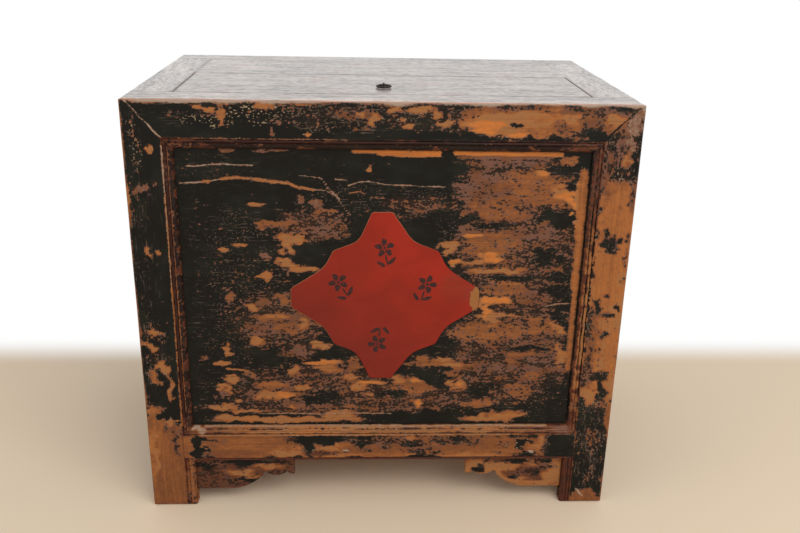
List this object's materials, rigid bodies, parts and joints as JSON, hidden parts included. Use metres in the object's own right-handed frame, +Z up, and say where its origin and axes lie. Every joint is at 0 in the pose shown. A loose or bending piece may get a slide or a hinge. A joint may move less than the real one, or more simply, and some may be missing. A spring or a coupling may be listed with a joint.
{
  "type": "storage trunk",
  "caption": "Standing lacquered pine trunk with framed panels, a lift-out lid board let into the top, a ring pull, carved front brackets and a red front medallion.",
  "frame": {"origin": "on the floor under the middle of the trunk", "axes": "+X to the right along the front, +Y to the back, +Z up; the front with the medallion faces -Y"},
  "size_m": [0.915, 0.59, 0.8307],
  "materials": {
    "frame_lacquer": "near-black lacquer over a red-brown ground, worn through to ochre pine",
    "panel_lacquer": "near-black lacquer worn in level streaks to ochre pine",
    "bracket_wood": "worn lacquer on ochre pine",
    "top_lacquer": "worn brown lacquer with a soft gloss",
    "raw_pine": "aged bare pine",
    "red_lacquer": "satin vermilion lacquer",
    "iron": "blackened wrought iron"
  },
  "bodies": {
    "root": {"post_front_left": "frame_lacquer", "post_front_right": "frame_lacquer", "post_back_left": "frame_lacquer", "post_back_right": "frame_lacquer", "top_rail_front": "frame_lacquer", "top_rail_back": "frame_lacquer", "top_rail_left": "frame_lacquer", "top_rail_right": "frame_lacquer", "lower_rail_front": "frame_lacquer", "lower_rail_back": "frame_lacquer", "lower_rail_left": "frame_lacquer", "lower_rail_right": "frame_lacquer", "panel_front": "panel_lacquer", "panel_back": "panel_lacquer", "panel_left": "panel_lacquer", "panel_right": "panel_lacquer", "tenon_pegs": "raw_pine", "bracket_left": "bracket_wood", "bracket_right": "bracket_wood", "medallion": "red_lacquer", "top_board_front": "top_lacquer", "top_board_middle": "top_lacquer", "top_board_back": "top_lacquer", "top_end_left": "top_lacquer", "top_end_right": "top_lacquer", "ledge_front": "raw_pine", "ledge_middle": "raw_pine", "ledge_left": "raw_pine", "ledge_right": "raw_pine", "ledge_nails": "iron", "bearer_front": "raw_pine", "bearer_back": "raw_pine", "bearer_left": "raw_pine", "bearer_right": "raw_pine", "bearer_nails": "iron", "bottom_board_front": "raw_pine", "bottom_board_middle": "raw_pine", "bottom_board_back": "raw_pine"},
    "lid": {"lid_board": "top_lacquer", "lid_batten_left": "raw_pine", "lid_batten_right": "raw_pine", "batten_nails": "iron", "pull_washer": "iron", "pull_staple": "iron"},
    "ring": {"pull_ring": "iron"}
  },
  "joints": [
    {"name": "lid_lift", "type": "slide", "parent": "root", "child": "lid", "axis": [0, 0, 1], "range_m": [0, 0.25]},
    {"name": "ring_swing", "type": "hinge", "parent": "lid", "child": "ring", "pos_m": [0, -0.134, 0.82645], "axis": [-1, 0, 0], "range_deg": [0, 180]}
  ]
}
